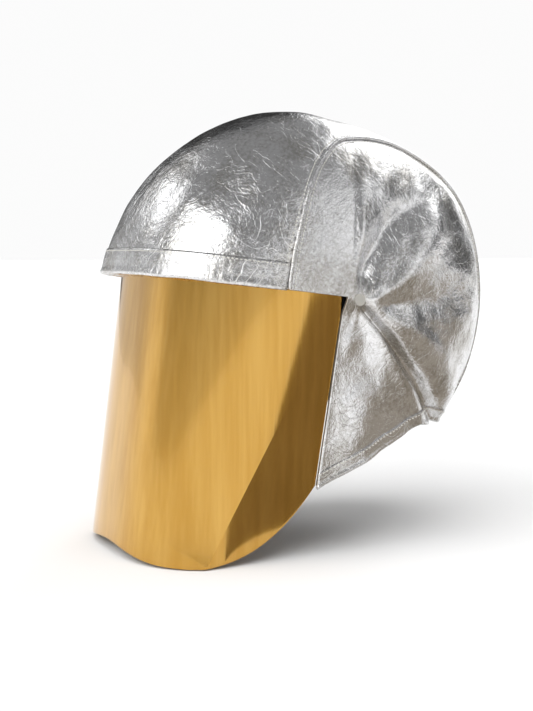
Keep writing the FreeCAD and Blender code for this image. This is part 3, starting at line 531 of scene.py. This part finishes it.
# folds that run out from the temple, as (reach in mm, angle there) pairs with depth and width in mm
folds = {
    "runs": [
        {"path": [(0, 88), (28, 80), (60, 70), (98, 58), (120, 52)], "depth": -6.5, "width": 5.0,
         "spread": 0.085, "start": 10, "end": 112},
        {"path": [(0, 112), (60, 96), (110, 86)], "depth": 2.2, "width": 6.0,
         "spread": 0.09, "start": 16, "end": 112},
        {"path": [(0, 14), (40, 28), (80, 40), (120, 46)], "depth": 5.5, "width": 7.0,
         "spread": 0.12, "start": 8, "end": 125},
        {"path": [(0, -8), (60, 4), (110, 10)], "depth": -2.4, "width": 6.0, "spread": 0.10,
         "start": 16, "end": 135},
        {"path": [(0, -20), (60, -22), (140, -32)], "depth": 4.5, "width": 6.0,
         "spread": 0.10, "start": 10, "end": 175},
        {"path": [(0, -40), (200, -40)], "depth": -8.0, "width": 3.0, "spread": 0.022,
         "start": 6, "end": 220},
        {"path": [(0, -50), (140, -47)], "depth": 3.0, "width": 4.0, "spread": 0.03, "start": 10, "end": 220},
        {"path": [(0, -72), (140, -68)], "depth": -2.2, "width": 7.0, "spread": 0.06,
         "start": 20, "end": 170},
    ],
    "pleats": 11, "pleatDepth": 0.35 * mm, "pleatReach": 30 * mm,
}
for run in folds["runs"]:
    run["angleAt"] = smoothThrough(run["path"])


def foldDepth(y, z):
    # how far the side cloth stands out of the plain shape, in metres
    reach, angle = math.hypot(y, z) / mm, math.degrees(math.atan2(z, y))
    wander = 1.8 * noise.noise(Vector((y, z, 0)) * 26) * smoothstep(reach, 10, 60)
    depth = 0.0
    for run in folds["runs"]:
        away = math.radians(angle - run["angleAt"](reach)) * reach + wander
        width = run["width"] + run["spread"] * reach
        fade = smoothstep(reach, run["start"] * 0.3, run["start"] * 2.2)
        fade *= 1 - smoothstep(reach, run["end"] * 0.72, run["end"])
        depth += run["depth"] * math.exp(-(away / width)**2) * fade * mm
    near = math.exp(-(reach * mm / folds["pleatReach"])**2) * smoothstep(reach, 5, 16)
    swirl = 3 * noise.noise(Vector((y, z, 1)) * 40)
    depth += folds["pleatDepth"] * near * math.sin(math.radians(angle) * folds["pleats"] + swirl)
    depth += ripple(Vector((y, z, 0.3)), 34 * mm, 1.9 * mm) + ripple(Vector((y, z, 0.7)), 13 * mm, 0.75 * mm)
    toSeam = (1 - seamShare(y, z)) * reachAt(angle)
    return depth * smoothstep(toSeam, -1 * mm, 18 * mm)


def tuckDepth(y, z):
    # the cape's front edge is drawn in to lie behind the window's edge
    plain = sidePoint(y, z).x
    down = min(max(-z / -rearCorner.y, 0.0), 1.0)
    target = window["halfWidth"] - window["fold"] * down + 1.5 * mm
    ahead = 1 - smoothstep(y, hood["frontEdge"], hood["frontEdge"] + 42 * mm)
    return (plain - target) * ahead * smoothstep(-z, -2 * mm, 14 * mm)


def sideCloth(y, z, offset=0.0):
    step = 0.5 * mm
    here = sidePoint(y, z, offset)
    slopeY = (sidePoint(y + step, z).x - sidePoint(y - step, z).x) / (2 * step)
    slopeZ = (sidePoint(y, z + step).x - sidePoint(y, z - step).x) / (2 * step)
    out = Vector((1, -slopeY, -slopeZ)).normalized()
    calm = smoothstep(y, hood["frontEdge"], hood["frontEdge"] + 9 * mm)
    return here + out * foldDepth(y, z) * calm - Vector((tuckDepth(y, z), 0, 0))


def sideOf(point, side):
    return levelToRow @ Vector((point.x * side, point.y, point.z))


temple = Vector((0, hood["frontEdge"], hood["browLevel"]))


def hangOn(piece, slot, *replaced):
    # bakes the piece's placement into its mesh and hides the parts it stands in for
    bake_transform(piece)
    if replaced:
        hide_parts(*replaced)
    return piece


def levelAngle(turnAt, level, front):
    if front:
        return solve(lambda a: level - hoodPoint(a, turnAt(a)).z, 110.0, 200.0)
    return solve(lambda a: hoodPoint(a, turnAt(a)).z - level, -62.0, 60.0)


def middlePlace(edge, rearLevel, frontLevel, offset):
    # the middle panel from seam to seam, and from nape to brow
    limits = {}

    def place(across, along):
        def turnAt(angle):
            start = seamTurn(angle, edge)
            return start + across * (math.pi - 2 * start)
        key = round(across, 5)
        if key not in limits:
            limits[key] = (levelAngle(turnAt, rearLevel, False), levelAngle(turnAt, frontLevel, True))
        low, high = limits[key]
        angle = low + along * (high - low)
        point = hoodPoint(angle, turnAt(angle), offset)
        toSeam = min(across, 1 - across) * hood["panelWidth"]
        calm = smoothstep(toSeam, 0, 14 * mm) * smoothstep(1 - along, 0.042, 0.11)
        wave = math.sin(along * hood["panelLength"] / hood["puckerPitch"] * math.tau)
        pucker = hood["puckerDepth"] * math.exp(-toSeam / (5 * mm)) * wave
        crumple = ripple(point, 46 * mm, 1.9 * mm, 3.0) + ripple(point, 17 * mm, 0.55 * mm, 9.0)
        lift = calm * crumple + pucker
        return levelToRow @ (point * (1 + lift / point.length))
    return place


def sideReach(angle):
    # distance from the temple corner to the panel's edge, seen from the side
    c, s = math.cos(math.radians(angle)), math.sin(math.radians(angle))

    def outside(distance):
        y, z = temple.y + distance * c, temple.z + distance * s
        past = seamShare(y, z) - 0.995
        return max(past, (neckHeight(y) - z) / (100 * mm)) if z < -20 * mm else past
    return solve(outside, 10 * mm, 330 * mm)


def sidePlace(side, offset, inset=0.0):
    reaches = {}

    def place(across, along):
        angle = 180.0 - 270.0 * across
        key = round(across, 5)
        if key not in reaches:
            reaches[key] = sideReach(angle) - inset
        distance = max(reaches[key] * along, 0.0)
        y = temple.y + distance * math.cos(math.radians(angle))
        z = temple.z + distance * math.sin(math.radians(angle))
        return sideOf(sideCloth(y, z, offset), side)
    return place


print("hood panels")
panelPlace = middlePlace(0.2 * mm, hood["neckLevel"], hood["browLevel"], 0.0)
crownPanel = laySheet("crownPanel", 110, 200, panelPlace, foilCloth, (0.24, 0.50), wall=hood["wall"])
hangOn(crownPanel, "hood_fabric", "crown_panel")
liningPlace = middlePlace(1.0 * mm, hood["neckLevel"] + 2 * mm, 3 * mm, hood["liningGap"])
crownLining = laySheet("crownLining", 50, 100, liningPlace, liningCloth, (0.23, 0.49),
                       wall=hood["liningWall"])
hangOn(crownLining, "lining_fabric", "crown_lining")
sidePanels, sideLinings = [], []
for side, word in ((1, "left"), (-1, "right")):
    panel = laySheet("sidePanel" + word.title(), 300, 84, sidePlace(side, 0.0), foilCloth, (0.30, 0.26),
                     inside=levelToRow @ Vector((0, 30 * mm, 0)), merge=True, wall=hood["wall"])
    hangOn(panel, "hood_fabric", "side_panel_" + word)
    sidePanels.append(panel)
    lining = laySheet("sideLining" + word.title(), 170, 46, sidePlace(side, hood["liningGap"], 2.0 * mm),
                      liningCloth, (0.29, 0.25), inside=levelToRow @ Vector((0, 30 * mm, 0)), merge=True,
                      wall=hood["liningWall"])
    hangOn(lining, "lining_fabric", "side_lining_" + word)
    sideLinings.append(lining)


hem = {"brow": 20.5 * mm, "neck": 12 * mm, "wall": 0.9 * mm, "roll": 0.8 * mm,
       "puckers": 50, "puckerDepth": 0.14 * mm}


def browPlace(across, along):
    def turnAt(angle):
        start = seamTurn(angle, 2.2 * mm)
        return start + across * (math.pi - 2 * start)
    level = 0.2 * mm + along * hem["brow"]
    angle = levelAngle(turnAt, level, True)
    # rolled lower fold, flat above, puckered between the stitches
    swell = hem["roll"] * math.exp(-((along - 0.10) / 0.11)**2)
    wave = hem["puckerDepth"] * math.sin(across * hem["puckers"] * math.tau) * (1 - along)
    point = hoodPoint(angle, turnAt(angle), -0.3 * mm - hem["wall"] * 0.7 - swell - wave)
    return levelToRow @ (point + Vector((0, 0, ripple(point, 35 * mm, 0.7 * mm) * (1 - along))))


def hoodRound(direction, z, offset):
    # the hood's edge at a height, in a level direction from an axis behind the pivot
    axisY, c, s = 40 * mm, math.cos(direction), math.sin(direction)

    def outside(distance):
        x, y = distance * c, axisY + distance * s
        angle = math.degrees(math.atan2(z, y))
        n = squareAt(angle)
        sideways = abs(x) / (hood["halfWidth"] - offset)
        return sideways**n + (math.hypot(y, z) / (reachAt(angle) - offset))**n - 1
    distance = solve(outside, 20 * mm, 200 * mm)
    return Vector((distance * c, axisY + distance * s, z))


def neckLine(across, up, offset):
    # place on the neck hem, following the side panels' folds
    first = math.atan2(hood["frontEdge"] + 0.5 * mm - 40 * mm, hood["halfWidth"] - 8 * mm)
    direction = first + across * (math.pi - 2 * first)
    z = hood["neckLevel"]
    for _ in range(7):
        z = neckHeight(hoodRound(direction, z, offset).y)
    point = hoodRound(direction, z + up, offset)
    if seamShare(point.y, point.z) < 1.0:
        side = 1 if point.x > 0 else -1
        cloth = sideCloth(point.y, point.z, offset)
        return Vector((cloth.x * side, cloth.y, cloth.z))
    return point


def neckPlace(across, along):
    swell = 0.9 * mm * math.exp(-((along - 0.12) / 0.14)**2)
    up, offset = -0.6 * mm + along * hem["neck"], -0.5 * mm - hem["wall"] * 0.5 - swell
    return levelToRow @ neckLine(across, up, offset)


print("hems and seams")
browHem = laySheet("browHem", 200, 14, browPlace, foilHem, (0.30, 0.021), wall=hem["wall"])
hangOn(browHem, "hood_fabric", "brow_hem")
neckHem = laySheet("neckHem", 260, 10, neckPlace, foilHem, (0.62, 0.012), wall=hem["wall"])
hangOn(neckHem, "hood_fabric", "neck_hem")


def seamLine(side, beside, lift, low=-34.0, steps=110):
    # (place, outward) pairs along a shoulder seam, from nape to brow
    high = levelAngle(lambda a: seamTurn(a, beside), hood["browLevel"] + 0.5 * mm, True)
    line = []
    for i in range(steps + 1):
        angle = low + (high - low) * i / steps
        turn = seamTurn(angle, beside)
        point = hoodPoint(angle, turn, -lift)
        out = (hoodPoint(angle, turn, -5 * mm) - hoodPoint(angle, turn, 0)).normalized()
        line.append((sideOf(point, side), levelToRow.to_3x3() @ Vector((out.x * side, out.y, out.z))))
    return line


for side, word in ((1, "left"), (-1, "right")):
    line = seamLine(side, 0.0, 0.7 * mm)
    piping = tubeAlong("seamPiping" + word.title(), [p for p, _ in line], 1.55 * mm, foilHem)
    hangOn(piping, "hood_fabric", "seam_piping_" + word)

stitchLines = []
for side in (1, -1):
    stitchLines.append(seamLine(side, 4.2 * mm, 0.2 * mm))
    stitchLines.append(seamLine(side, -4.2 * mm, 0.2 * mm))


def hemStitches(place, height, steps, share=(0.0, 1.0)):
    points = [place(share[0] + (share[1] - share[0]) * i / steps, height) for i in range(steps + 1)]
    centre = levelToRow @ Vector((0, 10 * mm, 0))
    return [(p, (Vector((p.x, p.y, 0)) - Vector((0, centre.y, 0))).normalized()) for p in points]


stitchLines.append(hemStitches(browPlace, 0.90, 150))
stitchLines.append(hemStitches(neckPlace, 0.85, 200))
stitches = sewStitches("hoodStitches", stitchLines)
hangOn(stitches, "hood_fabric")


def declareCloth(piece, flat):
    # the panels are cut to shape, so the cut's area is read off the sheet as laid
    area = sum(face.area for face in piece.data.polygons)
    print(piece.name, "cut", flat, "area", round(area, 4))


declareCloth(crownPanel, (0.36, 0.54))
declareCloth(crownLining, (0.35, 0.53))
for panel, lining in zip(sidePanels, sideLinings):
    declareCloth(panel, (0.30, 0.29))
    declareCloth(lining, (0.30, 0.29))


def creasedPlace(s, z):
    # the flat three-cornered side below a straight crease, and the sheet easing into it above
    t = (s * creaseWay.x + z * creaseWay.y) / creaseFoot.length
    off = z * creaseWay.x - s * creaseWay.y        # below the crease when negative
    if off <= 0:
        # shares of the two flat edges that meet at the temple
        area = creaseFoot.x * rearCorner.y - creaseFoot.y * rearCorner.x
        a = (s * rearCorner.y - z * rearCorner.x) / area
        c = (creaseFoot.x * z - creaseFoot.y * s) / area
        return topPlace + (footPlace - topPlace) * a + (cornerPlace - topPlace) * c
    t = min(max(t, 0.0), 1.0)
    onLine = bentPlace(creaseFoot.x * t, creaseFoot.y * t)
    pull = topPlace.lerp(footPlace, t) - onLine
    ease = max(0.0, 1 - off / window["settle"])
    return bentPlace(s, z) + pull * ease * ease


def makeWindow():
    mesh = bmesh.new()
    cut = mesh.loops.layers.uv.new("cut")
    bmesh.ops.create_grid(mesh, x_segments=240, y_segments=110, size=0.5)
    full = 2 * halfFlat
    for vert in mesh.verts:
        s, down = (vert.co.x + 0.5) * full, 0.5 - vert.co.y
        vert.co = Vector((s, window["top"] + (windowBottom(s) - window["top"]) * down, 0))
    farFoot = Vector((full - creaseFoot.x, creaseFoot.y))
    for start, foot in ((Vector((0, 0)), creaseFoot), (Vector((full, 0)), farFoot)):
        along = (foot - start).normalized()
        bmesh.ops.bisect_plane(mesh, geom=mesh.verts[:] + mesh.edges[:] + mesh.faces[:], dist=1e-6,
                               plane_co=(start.x, start.y, 0), plane_no=(along.y, -along.x, 0))
    bmesh.ops.remove_doubles(mesh, verts=mesh.verts, dist=0.03 * mm)
    for face in mesh.faces:
        for loop in face.loops:
            loop[cut].uv = loop.vert.co.xy
    creaseEdges = []
    for edge in mesh.edges:
        ends = []
        for vert in edge.verts:
            s = min(vert.co.x, full - vert.co.x)
            away = abs(s * creaseWay.y - vert.co.y * creaseWay.x)
            ends.append(away < 0.02 * mm and vert.co.y < 0.1 * mm)
        if all(ends):
            creaseEdges.append(edge)
    for vert in mesh.verts:
        s, z = vert.co.x, vert.co.y
        if s > halfFlat:
            point = creasedPlace(full - s, z)
            point.x = -point.x
        else:
            point = creasedPlace(s, z)
        vert.co = levelToRow @ point
    for edge in creaseEdges:
        edge.smooth = False
    faceOutwards(mesh, pivot)
    piece = makePiece("windowSheet", mesh, goldCoating)
    wall = piece.modifiers.new("wall", "SOLIDIFY")
    wall.thickness = window["wall"]
    wall.offset = -1.0
    soften = piece.modifiers.new("edge", "BEVEL")
    soften.width = 0.35 * mm
    soften.segments = 2
    soften.limit_method = "ANGLE"
    soften.angle_limit = math.radians(60)
    return piece


print("window")
windowSheet = makeWindow()
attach(windowSheet, "shield")
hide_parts("window")


padGap, padDepth = 1.85 * mm, 4.0 * mm       # from the band's outside, and through the pad
pads = {
    "brow_pad": {"facing": -1, "halfAngle": 60, "quilt": 9},
    "nape_pad": {"facing": 1, "halfAngle": 27, "quilt": 4},
}


def makePad(node, pad):
    low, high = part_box(node)
    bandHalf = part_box("headband")[1].x             # radius of the band's round ends
    outer = bandHalf - padGap
    inner = outer - padDepth
    straight = -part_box("brow_pad")[0].y - outer
    middle, thick, tall = (outer + inner) / 2, (outer - inner) / 2, (high.z - low.z) / 2
    centreZ = (high.z + low.z) / 2

    def place(across, along):
        around = across * math.tau
        end = max(0.0, 1 - abs(2 * along - 1)**16)**0.5
        channel = 1 - 0.45 * math.exp(-(((along * pad["quilt"]) % 1 - 0.5) / 0.06)**2)
        c, s = math.cos(around), math.sin(around)
        section = Vector((abs(c)**0.75 * math.copysign(1, c), abs(s)**0.45 * math.copysign(1, s)))
        puff = thick * (0.25 + 0.75 * channel) * (1 if c > 0 else 1.15)
        radius = middle + section.x * puff * end
        angle = math.radians(pad["halfAngle"]) * (2 * along - 1) * (1 - 0.004 * (1 - end))
        return Vector((radius * math.sin(angle), pad["facing"] * (straight + radius * math.cos(angle)),
                       centreZ + section.y * tall * end))
    piece = laySheet(node.replace("_pad", "Pad"), 32, 150, place, padCloth, (0.07, 0.17), merge=True,
                     inside=Vector((0, pad["facing"] * (straight + middle), 0)))
    mesh = bmesh.new()
    mesh.from_mesh(piece.data)
    bmesh.ops.remove_doubles(mesh, verts=mesh.verts, dist=0.05 * mm)
    bmesh.ops.recalc_face_normals(mesh, faces=mesh.faces)
    mesh.to_mesh(piece.data)
    mesh.free()
    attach(piece, "headgear")
    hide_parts(node)
    return piece


print("pads")
for node, pad in pads.items():
    makePad(node, pad)


def makeStage():
    mesh = bmesh.new()
    bmesh.ops.create_grid(mesh, x_segments=1, y_segments=1, size=studio["floorHalf"])
    floorFinish = newFinish("paleFloor", {"Roughness": 0.9, "Specular IOR Level": 0.1})
    cloud = floorFinish.noiseAt(objectPlace(floorFinish), 3.0, 2.0)
    pale = floorFinish.blendColours(cloud, (0.90, 0.90, 0.90, 1), (0.93, 0.93, 0.93, 1))
    wear(floorFinish, {"Base Color": pale})
    floor = makePiece("paleFloor", mesh, floorFinish.material, smooth=False)
    floor.data.transform(Matrix.Translation((0, 0, cadBox[0].z - 1 * mm)))


# the studio seen from the object: soft lights and dark flags as (azimuth, elevation, half width,
# half height, softness, strength), in degrees
studio = {
    "floorHalf": 30.0, "dome": 0.25, "lowBand": 0.82, "backdrop": 0.97, "sun": 1.9, "sunWidth": 75,
    "lights": [
        (20, 31, 38, 15, 3, 2.6),       # front
        (-66, 30, 13, 7, 4, 2.2),       # far front side
        (115, 22, 3, 16, 3, 1.9),       # narrow, by the ear
        (139, 22, 7, 13, 5, 1.3),       # beside it, for the folds
        (-170, 44, 23, 10, 4, 2.0),     # behind, high
        (-138, 24, 11, 17, 4, 2.4),     # behind, on the far side
        (-40, 0, 13, 12, 9, 0.30),      # low, in front
    ],
    "flags": [(-107, 18, 16, 30, 6, 0.88), (172, 4, 30, 16, 8, 0.75)],
    "card": {"near": 103, "far": 172, "lean": 175, "distances": (0.15, 0.50, 0.50), "top": -0.02,
             "colours": ((0.27, 0.235, 0.19, 1), (0.36, 0.32, 0.27, 1))},
}


def makeStudio():
    world = bpy.data.worlds.new("studio")
    bpy.context.scene.world = world
    world.use_nodes = True
    finish = Finish(world.node_tree)
    direction = finish.node("TexCoord", out=0)
    x, y, z = (finish.node("SeparateXYZ", {}, {0: direction}, i) for i in range(3))
    azimuth = x.calc("ARCTAN2", x, y * -1) * (180 / math.pi)
    elevation = z.calc("ARCSINE", z) * (180 / math.pi)

    def patch(az, el, halfWidth, halfHeight, soft):
        turn = azimuth.calc("WRAP", azimuth - az, 180.0, -180.0)
        sideways = turn.calc("ABSOLUTE", turn)
        upward = azimuth.calc("ABSOLUTE", elevation - el)
        wide = finish.steps(sideways, halfWidth + soft, halfWidth - soft)
        tall = finish.steps(upward, halfHeight + soft, halfHeight - soft)
        return wide * tall
    level = finish.steps(elevation, 17.0, 1.0) * (studio["lowBand"] - studio["dome"]) + studio["dome"]
    for az, el, width, height, soft, share in studio["flags"]:
        level = level * (1 - patch(az, el, width, height, soft) * share)
    for az, el, width, height, soft, strength in studio["lights"]:
        level = level + patch(az, el, width, height, soft) * strength
    seen = finish.node("LightPath", out=0)
    background = world.node_tree.nodes["Background"]
    finish.plug(background.inputs["Color"], (1.0, 1.0, 1.0, 1.0))
    finish.plug(background.inputs["Strength"], level * (1 - seen) + seen * studio["backdrop"])

    # soft light from above for the floor and the cloth
    lamp = bpy.data.lights.new("softTop", "SUN")
    lamp.energy = studio["sun"]
    lamp.angle = math.radians(studio["sunWidth"])
    light = bpy.data.objects.new("softTop", lamp)
    light.rotation_euler = (math.radians(18), math.radians(14), 0)
    light.visible_glossy = False
    bpy.context.scene.collection.objects.link(light)

    # low dark flag round the rear right, seen only in reflections
    card = studio["card"]
    mesh = bmesh.new()
    bmesh.ops.create_grid(mesh, x_segments=24, y_segments=2, size=0.5)
    low = cadBox[0].z
    for vert in mesh.verts:
        row = round((vert.co.y + 0.5) * 2)
        distance, height = card["distances"][row], (low, low, card["top"])[row]
        start = card["near"] - card["lean"] * (card["distances"][2] - distance)
        az = math.radians(start + (vert.co.x + 0.5) * (card["far"] - start))
        vert.co = Vector((math.sin(az), -math.cos(az), 0)) * distance + Vector((0, 0, height))
    finish = newFinish("darkFlag", {"Base Color": (0, 0, 0, 1), "Roughness": 1.0, "Specular IOR Level": 0.0,
                                    "Emission Strength": 1.0})
    cloud = finish.noiseAt(objectPlace(finish), 6.0, 2.0)
    wear(finish, {"Emission Color": finish.blendColours(cloud, *card["colours"])})
    flag = makePiece("darkFlag", mesh, finish.material)
    for ray in ("camera", "diffuse", "shadow", "transmission"):
        setattr(flag, "visible_" + ray, False)


view = {"azimuth": 62.0, "elevation": 2.0, "distance": 1.0, "aim": Vector((0, -24.9 * mm, 3.4 * mm)),
        "lens": 61.3, "shift": (-0.016, -0.087)}


def makeCamera():
    data = bpy.data.cameras.new("camera")
    camera = bpy.data.objects.new("camera", data)
    bpy.context.scene.collection.objects.link(camera)
    az, el = math.radians(view["azimuth"]), math.radians(view["elevation"])
    back = Vector((math.sin(az) * math.cos(el), -math.cos(az) * math.cos(el), math.sin(el)))
    camera.location = view["aim"] + back * view["distance"]
    camera.rotation_mode = "QUATERNION"
    camera.rotation_quaternion = (-back).to_track_quat("-Z", "Y")
    data.sensor_width = 36.0
    data.lens = view["lens"]
    data.shift_x, data.shift_y = view["shift"]
    data.clip_start = 0.01
    bpy.context.scene.camera = camera


print("stage")
makeStage()
makeStudio()
makeCamera()
bpy.context.scene.view_settings.view_transform = "Standard"
